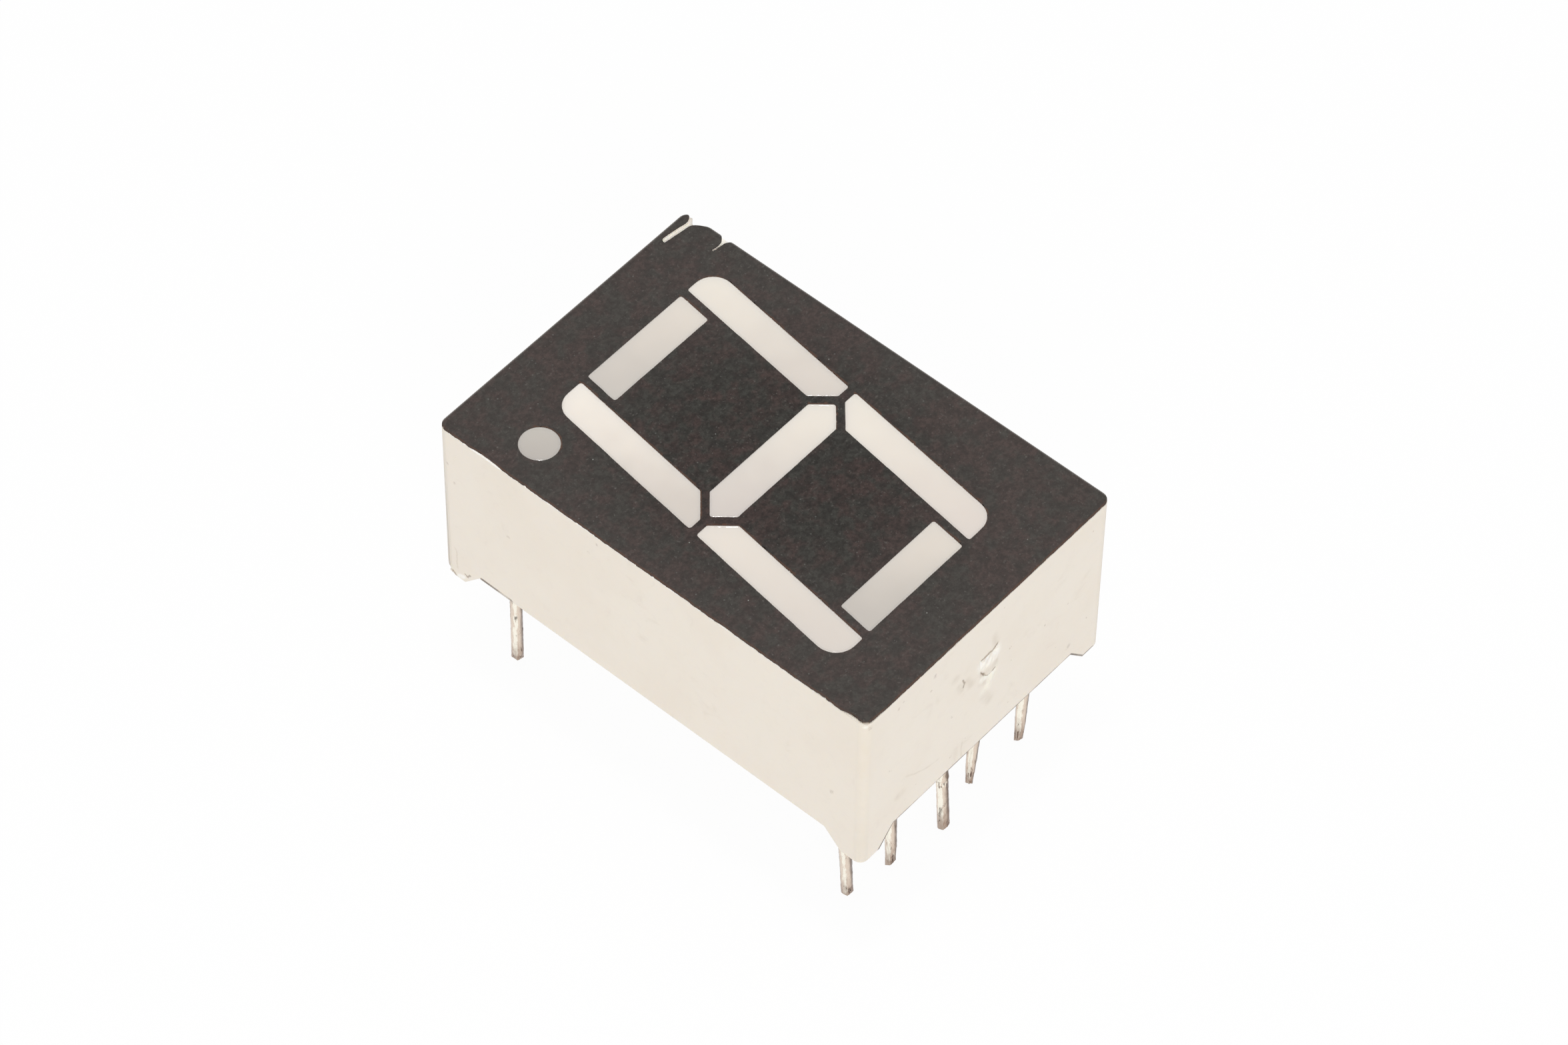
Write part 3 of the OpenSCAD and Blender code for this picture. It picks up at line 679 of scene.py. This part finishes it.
def worn_in(co, inset):
    """How far the coat is worn in from the body's edge, in millimetres."""
    long_wall = co.x > HALF_X - FRINGE
    along = Vector((0 if long_wall else co.x, co.y, 0))
    wide = noise.noise_vector(along / (0.9 * MM))
    fine = noise.noise_vector(along / (0.2 * MM))
    nick = max(0.0, noise.noise(along / (0.13 * MM)) - 0.25)
    sway = 0.02 if long_wall or co.y <= 0 else 0.012
    inward = abs((fine * 0.7 + wide).x) * sway + nick * (0.08 if long_wall else 0.03)
    if long_wall:
        inward += (0.035 + nick * 0.14) * max(0.0, 1 - ((co.y / MM - FLAKE_Y) / FLAKE_HALF) ** 2)
        inward += 0.06 * max(0.0, 1 - abs(co.y / MM - WORN_Y) / WORN_HALF)
    tip = max(0.0, 1 - math.hypot(co.x - HALF_X, co.y - HALF_Y) / CORNER_REACH)
    inward += tip * (0.015 + 0.07 * abs(noise.noise(co / (0.13 * MM))))
    return inward * (1 - max(inset, 0) / FRINGE)


def stray(co, chipped):
    """How far the coat's border by a well lies off its line, in millimetres."""
    level = Vector((co.x, co.y, 0))
    wide = noise.noise_vector(level / (0.9 * MM))
    fine = noise.noise_vector(level / (0.17 * MM))
    nick = max(0.0, noise.noise(level / (0.11 * MM)) - 0.3)
    off = (fine * 0.5 + wide) * 0.011 + Vector((0.5, 0.5, 0)) * nick * 0.06
    if chipped:
        off.x -= 0.09 * max(0.0, noise.noise(level / (0.09 * MM)) - 0.15)
    return Vector((off.x, off.y, 0))


thinned = skin.verts.layers.float.new("border")
for v in skin.verts:
    bordering = on_border(v)
    inset = from_border(v.co)
    # by the wells the coat is thinnest, and chipped, where the printing stroke came off it
    walls = [f.normal.x for f in v.link_faces if abs(f.normal.z) < 0.5]
    chipped = sum(walls) > 0.5
    if not bordering:
        v[thinned] = max(0.0, 1 - inset / (0.1 * MM))
    elif inset < FRINGE:
        v[thinned] = 0.6
    else:
        v[thinned] = 1.0 if chipped else 0.5
    if inset < FRINGE:
        inward = worn_in(v.co, inset) * MM
        shift_x = -math.copysign(inward, v.co.x) if abs(v.co.x) > HALF_X - FRINGE else 0.0
        shift_y = -math.copysign(inward, v.co.y) if abs(v.co.y) > HALF_Y - FRINGE else 0.0
        v.co += Vector((shift_x, shift_y, 0))
    elif bordering:
        v.co += stray(v.co, chipped) * MM
roll_over(skin, face_top)
for v in skin.verts:
    on_crease = abs(v.co.y + HALF_Y - CREASE_IN * MM) < LEVEL
    if on_crease and v.co.z > face_top - LEVEL:
        v.co.z -= CREASE_DROP * MM * max(0.0, min(1.0, (-1.2 - v.co.x / MM) / 2.0))
finish_piece(skin, "face_skin", ["face_print"], ink)


# ---- the light wells ----
# Each well is filled to just under the ink with clear resin that a white filler turns milky. It
# creeps up the well's walls as it sets, so its surface has a raised rim that catches the light. Its
# colour is painted shade: greyer at the end of each well towards the camera, creamier at the far end.

# painted shade: each well is greyer at its end towards the camera and creamier at its far end
milk, given, result = new_group(
    "milky_painted_shade",
    [("Place", "Vector", None), ("Centre", "Vector", None), ("Length", "Float", 1.0),
     ("Cream", "Color", None), ("Grey", "Color", None)],
    [("Colour", "Color")],
)
AWAY_FROM_CAMERA = Vector((-0.76, -0.65, 0))
from_centre = compute_vector(milk, "SUBTRACT", given["Place"], given["Centre"])
run = compute_vector(milk, "DOT_PRODUCT", from_centre, AWAY_FROM_CAMERA)
run = compute(milk, "DIVIDE", run, given["Length"])
soft = add(milk, "TexNoise", Vector=given["Place"], Scale=0.8, Detail=1.0).outputs[0]
run = compute(milk, "ADD", run, compute(milk, "MULTIPLY_ADD", soft, 0.3, -0.15))
depth = blend_colours(milk, ramp(milk, run, -0.5, 0.5), given["Grey"], given["Cream"])
milk.links.new(depth, result["Colour"])


def milky_resin(name, grey, cream):
    """The finish of one well, with its painted shade from its grey end to its creamy end."""
    low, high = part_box(name)
    centre, size = (low + high) / 2, high - low
    length = abs(size.x * AWAY_FROM_CAMERA.x) + abs(size.y * AWAY_FROM_CAMERA.y)
    milky, tree = new_material("milky_resin_" + name)
    place = millimetres(tree)
    colour = use(
        tree, milk, Place=place, Centre=tuple(centre / MM), Length=length / MM, Cream=rgb(*cream),
        Grey=rgb(*grey),
    )["Colour"]
    motes = use(tree, specks, Place=place, Spacing=2.2, Size=0.07)["Mask"]
    colour = tinted(tree, colour, motes, 0.4, rgb(130, 112, 98))
    ripple = use(tree, grain, Place=place, Size=1.2)["Height"]
    finish_material(
        tree, Base_Color=colour, Roughness=0.11, Normal=bumped(tree, ripple, 0.1, 0.02),
        Subsurface_Weight=0.3, Subsurface_Scale=0.6 * MM, Subsurface_Radius=(1.0, 0.9, 0.75),
    )
    return milky


# The rim of the resin, in millimetres: how far it has crept up over the ink's edge, and then, ring
# by ring inwards, how wide each ring is and how far it climbs or falls
RIM_START = 0.008
CLIMB, FALL = (0.011, 0.0046), (0.011, -0.0046)
RIM = [(0.008, 0.008), CLIMB, CLIMB, CLIMB, (0.005, 0.0), FALL, FALL, FALL, (0.006, -0.001)]
RIM_HEIGHT = 0.03


def crept_fill(name):
    """The resin of one well, with its raised rim and an uneven crest on it."""
    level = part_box(name)[1].z
    fill = welded(name)
    merge_flats(fill)
    top = [
        f for f in fill.faces
        if f.normal.z > 0.99 and f.calc_center_median().z > level - 0.01 * MM
    ]
    for e in list(top[0].edges):
        if e.calc_length() > 0.12 * MM:
            bmesh.ops.subdivide_edges(fill, edges=[e], cuts=int(e.calc_length() / (0.06 * MM)))
    bmesh.ops.translate(fill, verts=list(top[0].verts), vec=(0, 0, RIM_START * MM))
    for width, rise in RIM:
        bmesh.ops.inset_region(fill, faces=top, thickness=width * MM, use_even_offset=True)
        bmesh.ops.translate(fill, verts=list(top[0].verts), vec=(0, 0, rise * MM))
    for v in fill.verts:
        crest = (v.co.z - level) / (RIM_HEIGHT * MM) - 0.5
        if crest > 0:
            uneven = noise.noise(v.co / (0.13 * MM)) * 0.01 + noise.noise(v.co / (0.5 * MM)) * 0.008
            v.co.z += min(1.0, 2 * crest) * uneven * MM
    return fill


# the painted shade of each well at its grey end, towards the camera, and at its creamy far end
SHADES = {
    "segment_a": ((197, 190, 182), (226, 217, 206)),
    "segment_b": ((220, 211, 202), (233, 224, 213)),
    "segment_c": ((213, 204, 195), (246, 237, 226)),
    "segment_d": ((204, 197, 189), (228, 219, 208)),
    "segment_e": ((217, 208, 199), (239, 231, 219)),
    "segment_f": ((225, 215, 206), (239, 231, 219)),
    "segment_g": ((213, 204, 197), (238, 230, 218)),
    "decimal_point": ((186, 179, 172), (198, 192, 183)),
}
for name, (grey, cream) in SHADES.items():
    milky = milky_resin(name, grey, cream)
    finish_piece(crept_fill(name), name + "_resin", [name], milky, crease=40)


# ---- circuit board, copper and solder ----
# The board is glass cloth and epoxy under green lacquer, pressed up against the block. Its tracks
# and plated holes are bare copper, and a ring of solder holds each lead from below. None of it
# shows once the sealing resin is in.

def dress(material, *nodes):
    """Gives a finish to CAD nodes that keep their own mesh."""
    for name in nodes:
        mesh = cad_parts[name].data
        mesh.materials.clear()
        mesh.materials.append(material)


def dull_metal(name, clouds, low, high, bright, dull, pores, strength):
    """Bare metal that has dulled in clouds, with fine pores."""
    metal, tree = new_material(name)
    place = millimetres(tree)
    dulled = ramp(tree, noise_at(tree, place, clouds, 4.0, 0.6), low, high)
    surface = use(tree, grain, Place=place, Size=pores)["Height"]
    finish_material(
        tree, Base_Color=blend_colours(tree, dulled, bright, dull), Metallic=1.0,
        Roughness=ramp(tree, dulled, 0.0, 1.0, 0.25, 0.5),
        Normal=bumped(tree, surface, strength, 0.01),
    )
    return metal


board, tree = new_material("board")
place = millimetres(tree)
warp, weft = (
    add(
        tree, "TexWave", {"wave_type": "BANDS", "bands_direction": axis}, Vector=place, Scale=1.2,
        Distortion=0.6,
    ).outputs["Fac"]
    for axis in "XY"
)
weave = compute(tree, "MULTIPLY", warp, weft)
finish_material(
    tree, Base_Color=blend_colours(tree, weave, rgb(30, 74, 44), rgb(52, 104, 62)),
    Roughness=0.35, Normal=bumped(tree, weave, 0.2, 0.02),
)
dress(board, "circuit_board")

copper = dull_metal("copper", 0.8, 0.4, 0.7, rgb(205, 132, 92), rgb(140, 84, 58), 0.1, 0.2)
dress(copper, "tracks")

solder = dull_metal("solder", 0.25, 0.35, 0.7, rgb(196, 196, 196), rgb(150, 149, 148), 0.15, 0.3)
SOLDER_RINGS = sorted(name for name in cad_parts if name.startswith("solder_"))
dress(solder, *SOLDER_RINGS)


# ---- dies and bond wires ----
# A light-emitting die is glued on a copper land at the foot of each well, and a fine gold wire runs
# from its top to the next land. Both are sunk in the milky resin.

die, tree = new_material("die")
place = millimetres(tree)
bands = ramp(tree, noise_at(tree, place, 0.1, 3.0, 0.6), 0.35, 0.65)
surface = use(tree, grain, Place=place, Size=0.05)["Height"]
finish_material(
    tree, Base_Color=blend_colours(tree, bands, rgb(150, 62, 52), rgb(104, 36, 34)),
    Roughness=0.3, Normal=bumped(tree, surface, 0.2, 0.005),
)
dress(die, *[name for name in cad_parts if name.startswith("led_die_")])

gold, tree = new_material("gold")
rubbed = ramp(tree, noise_at(tree, millimetres(tree), 0.06, 3.0, 0.6), 0.35, 0.65)
finish_material(
    tree, Base_Color=blend_colours(tree, rubbed, rgb(236, 196, 110), rgb(206, 158, 74)),
    Metallic=1.0, Roughness=ramp(tree, rubbed, 0.0, 1.0, 0.18, 0.34),
)
dress(gold, *[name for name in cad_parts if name.startswith("bond_wire_")])


# ---- the sealing resin ----
# The block is turned over and pale grey resin is poured round the leads to seal the board in. It
# sets with a glossy, slightly wavy surface that climbs the walls and the leads.

pool_low, pool_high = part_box("sealing_resin")
POOL_R = 0.9 * MM
POOL_PITCH = 0.3 * MM
# how far the resin climbs at the walls and at the leads, and how soon that fades, in millimetres
WALL_CLIMB, WALL_FADE = 0.06, 0.25
LEAD_CLIMB, LEAD_FADE = 0.05, 0.2
SHANK_R = 0.31 * MM
lead_places = [(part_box(name)[0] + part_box(name)[1]) / 2 for name in SOLDER_RINGS]

seal, tree = new_material("sealing_resin")
place = millimetres(tree)
swirl = ramp(tree, noise_at(tree, place, 2.6, 3.0, 0.55, 1.2), 0.35, 0.7)
bubbles = use(tree, specks, Place=place, Spacing=0.9, Size=0.2)["Mask"]
colour = blend_colours(tree, swirl, rgb(214, 208, 196), rgb(196, 188, 174))
colour = tinted(tree, colour, bubbles, 0.35, rgb(232, 228, 220))
pitted = compute(tree, "MULTIPLY", bubbles, -0.3)
height = compute(tree, "ADD", noise_at(tree, place, 1.6, 2.0), pitted)
finish_material(
    tree, Base_Color=colour, Roughness=0.18, Normal=bumped(tree, height, 0.35, 0.1),
    Subsurface_Weight=0.2, Subsurface_Scale=0.5 * MM, Subsurface_Radius=(1.0, 0.9, 0.7),
)

pool = welded("sealing_resin")
merge_flats(pool)
for axis, half in ((0, pool_high.x), (1, pool_high.y)):
    steps = int(2 * half / POOL_PITCH)
    places = [half * (2 * k / steps - 1) for k in range(1, steps)]
    cut_across(pool, axis, places, lambda f: f.normal.z < -0.99)
for v in pool.verts:
    if v.co.z < pool_low.z + 0.01 * MM:
        wall_gap = from_border(v.co, pool_high.x, pool_high.y, POOL_R) / MM
        nearest_lead = min(math.hypot(v.co.x - p.x, v.co.y - p.y) for p in lead_places)
        lead_gap = (nearest_lead - SHANK_R) / MM
        climb = WALL_CLIMB * math.exp(-max(wall_gap, 0) / WALL_FADE)
        climb += LEAD_CLIMB * math.exp(-max(lead_gap, 0) / LEAD_FADE)
        v.co.z += (0.05 - climb + 0.02 * noise.noise(v.co / (1.8 * MM))) * MM
finish_piece(pool, "sealing_pool", ["sealing_resin"], seal, crease=50)


# ---- the leads ----
# Each lead is copper-clad wire under a thin coat of tin, cropped at a slant. The tin is scuffed and
# pitted where the leads have been in and out of sockets, and handling has bent some of them.

tin, tree = new_material("tinned_wire")
place = millimetres(tree)
drawn = add(tree, "Mapping", Vector=place, Scale=(1.0, 1.0, 0.22)).outputs[0]
streaks = noise_at(tree, drawn, 0.09, 4.0, 0.65)
pits = ramp(tree, noise_at(tree, drawn, 0.16, 4.0, 0.7, 0.5), 0.58, 0.7)
height = add(tree, "SeparateXYZ", Vector=place).outputs["Z"]
worn = compute(tree, "ADD", height, compute(tree, "MULTIPLY", streaks, 2.0))
worn = ramp(tree, worn, -3.0, -4.6)
# painted reflection: the tin is painted pale where it faces the camera, brightest in a band down the
# middle, and dark brown at its sides, as the white table and darker surroundings would show in it
normal = add(tree, "TexCoord").outputs["Normal"]
each_lead = noise_at(tree, compute_vector(tree, "MULTIPLY", place, (1, 1, 0)), 1.5)
lean = compute(tree, "MULTIPLY_ADD", each_lead, 2.2, -1.3)
facing = compute_vector(tree, "DOT_PRODUCT", normal, (0.82, 0.57, 0.0))
aside = compute_vector(tree, "DOT_PRODUCT", normal, (-0.57, 0.82, 0.0))
aside = compute(tree, "MULTIPLY", aside, lean)
facing = compute(tree, "ADD", compute(tree, "ABSOLUTE", facing), aside)
facing = compute(tree, "ADD", facing, compute(tree, "MULTIPLY_ADD", streaks, 0.4, -0.2))
# painted reflection: pale towards the camera, dark brown at the sides
colour = blend_colours(tree, ramp(tree, facing, 0.12, 0.8), rgb(108, 86, 72), rgb(228, 211, 194))
colour = blend_colours(tree, ramp(tree, facing, 0.9, 1.0), colour, rgb(255, 250, 236))
colour = tinted(tree, colour, worn, 0.8, rgb(146, 118, 100))
colour = tinted(tree, colour, pits, 0.7, rgb(84, 68, 58))
rough = ramp(tree, streaks, 0.3, 0.7, 0.2, 0.42)
rough = compute(tree, "ADD", rough, compute(tree, "MULTIPLY", pits, 0.25))
relief = compute(tree, "SUBTRACT", streaks, compute(tree, "MULTIPLY", pits, 1.2))
finish_material(
    tree, Base_Color=colour, Metallic=1.0, Roughness=rough, Normal=bumped(tree, relief, 0.6, 0.015)
)

# the tips of some are worn to a blunt wedge: how far each ends above its lowest point, in
# millimetres, and how steeply it rises to its left, to its right and towards the block's corner
TIP_REACH = 0.6 * MM
TIPS = {
    "lead_5": (0.0, 0.95, 0.95, 1.2),
    "lead_6": (0.05, 0.85, 1.4, 1.2),
    "lead_7": (0.0, 0.0, 1.5, 1.2),
    "lead_8": (0.0, 0.1, 1.1, 0.6),
    "lead_9": (0.0, 0.5, 0.0, 1.2),
    "lead_10": (0.0, 0.0, 0.6, 0.9),
}
# some are filed thinner towards the tip, by this many millimetres at the end
THINNED = {"lead_6": 0.015, "lead_7": 0.06, "lead_8": 0.005, "lead_9": 0.13, "lead_10": 0.085}
# handling has bent them once more: the height of the knee, and how far each stands to its right
# there and at the tip
BENT = {
    "lead_5": (-1.2, 0.19, 0.03),
    "lead_6": (-2.9, 0.04, 0.03),
    "lead_8": (-2.9, -0.18, -0.04),
    "lead_9": (-2.9, -0.19, -0.13),
    "lead_10": (-2.9, -0.14, -0.09),
}
ACROSS, OUTWARD = Vector((-0.65, 0.76, 0)), Vector((0.76, 0.65, 0))
# Wear starts at the first of these heights, is full this far below it, and filing starts at the
# last. Wear takes off this much, more or less by this much. All in millimetres
WEAR_TOP, WEAR_FADE, FILE_TOP = 0.8, 0.5, 0.3
WORN_OFF, UNEVEN = 0.032, 0.012
RING_PITCH, RING_GAP = 0.12 * MM, 0.04 * MM


def wear_tip(wire, low, lift, left, right, outward):
    """Slopes the tip of a lead, each corner of the mesh along its own side of the wire."""
    tip = [v for v in wire.verts if v.co.z < low.z + TIP_REACH]
    least, most = (Vector([pick(v.co[k] for v in tip) for k in range(3)]) for pick in (min, max))
    middle = (least + most) / 2
    for v in tip:
        shank = max(v.link_edges, key=lambda e: e.calc_length()).other_vert(v).co - v.co
        across, out = (v.co - middle).dot(ACROSS), (v.co - middle).dot(OUTWARD)
        rise = lift * MM + left * max(0.0, -across) + right * max(0.0, across) + outward * out
        v.co += shank * (low.z + max(0.0, rise) - v.co.z) / shank.z


def cut_rings(wire, low):
    """Cuts rings round a lead, short of those that it has."""
    count = int((WEAR_TOP * MM - low.z) / RING_PITCH)
    levels = [low.z + (k + 0.5) * RING_PITCH for k in range(count)]
    free = [z for z in levels if all(abs(v.co.z - z) > RING_GAP for v in wire.verts)]
    cut_across(wire, 2, free)


def worn_off(name, co, tip):
    """How far the side of a lead is worn in, in millimetres."""
    uneven = noise.noise(co / (0.16 * MM)) + noise.noise(co / (0.6 * MM))
    filed = min(1.0, max(0.0, (FILE_TOP - co.z / MM) / (FILE_TOP - tip))) ** 6
    wear = WORN_OFF + THINNED.get(name, 0.0) * filed - uneven * UNEVEN
    return wear * min(1.0, (WEAR_TOP - co.z / MM) / WEAR_FADE)


def bent_aside(name, height, tip):
    """How far a lead is bent to its right at a height, in millimetres."""
    if name not in BENT:
        return 0.0
    knee, at_knee, at_tip = BENT[name]
    bend = at_knee * min(1.0, (WEAR_TOP - height) / (WEAR_TOP - knee))
    return bend + (at_tip - at_knee) * max(0.0, (knee - height) / (knee - tip))


for name in sorted(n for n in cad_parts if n.startswith("lead_")):
    wire = welded(name)
    merge_flats(wire)
    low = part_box(name)[0]
    tip = low.z / MM
    if name in TIPS:
        wear_tip(wire, low, *TIPS[name])
    cut_rings(wire, low)
    for v in wire.verts:
        if v.co.z < WEAR_TOP * MM:
            side = Vector((v.normal.x, v.normal.y, 0))
            if side.length > 0.2:
                v.co -= side.normalized() * worn_off(name, v.co, tip) * MM
            v.co += ACROSS * bent_aside(name, v.co.z / MM, tip) * MM
    finish_piece(wire, name + "_wire", [name], tin, crease=40)


# ---- the table, the light and the camera ----
# The display stands on the tips of its leads on a white table, under a small light from above
# and a larger, stronger one from the camera's side.

foot = min(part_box(name)[0].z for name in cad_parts)
paper, tree = new_material("white_table")
lit = add(tree, "BsdfDiffuse", Color=rgb(247, 247, 247))
bright = add(tree, "Emission", Color=(1, 1, 1, 1), Strength=1.0)
path = add(tree, "LightPath").outputs
seen = compute(tree, "MAXIMUM", path["Is Camera Ray"], path["Is Glossy Ray"])
both = add(tree, "MixShader", Fac=compute(tree, "MULTIPLY", seen, 0.95))
tree.links.new(lit.outputs[0], both.inputs[1])
tree.links.new(bright.outputs[0], both.inputs[2])
add(tree, "OutputMaterial", Surface=both.outputs[0])

ground = bmesh.new()
bmesh.ops.create_grid(ground, x_segments=1, y_segments=1, size=0.6)
bmesh.ops.translate(ground, verts=ground.verts, vec=(0, 0, foot))
mesh = bpy.data.meshes.new("table")
ground.to_mesh(mesh)
ground.free()
mesh.materials.append(paper)
table = bpy.data.objects.new("table", mesh)
bpy.context.scene.collection.objects.link(table)

# the studio's walls look brighter than the light that they give
world = bpy.data.worlds.new("studio")
bpy.context.scene.world = world
world.use_nodes = True
sky = world.node_tree
sky.nodes.clear()
path = add(sky, "LightPath").outputs
mirrored = compute(sky, "MAXIMUM", path["Is Glossy Ray"], path["Is Transmission Ray"])
direct = compute(sky, "MAXIMUM", path["Is Camera Ray"], mirrored)
brightness = compute(sky, "MULTIPLY_ADD", direct, 0.35, 0.65)
glow = add(sky, "Background", Color=(1, 1, 1, 1), Strength=brightness)
add(sky, "OutputWorld", Surface=glow.outputs[0])

AIM = Vector((0, 0, 2 * MM))


def soft_light(name, size, power, place):
    """A square soft box that faces the display."""
    lamp = bpy.data.lights.new(name, "AREA")
    lamp.size, lamp.energy = size, power
    box = bpy.data.objects.new(name, lamp)
    box.location = place
    box.rotation_euler = (AIM - Vector(place)).to_track_quat("-Z", "Y").to_euler()
    bpy.context.scene.collection.objects.link(box)


soft_light("overhead", 0.045, 0.2, (0.03, 0.02, 0.32))
soft_light("front", 0.12, 0.35, (0.2, 0.2, 0.22))

camera_data = bpy.data.cameras.new("camera")
camera_data.lens = 143.16
camera_data.clip_start, camera_data.clip_end = 0.01, 10
camera = bpy.data.objects.new("camera", camera_data)
camera.location = (0.09859, 0.08413, 0.1719)
camera.rotation_euler = [math.radians(a) for a in (37.76, -0.585, 131.055)]
bpy.context.scene.collection.objects.link(camera)
bpy.context.scene.camera = camera
bpy.context.scene.view_settings.view_transform = "Standard"
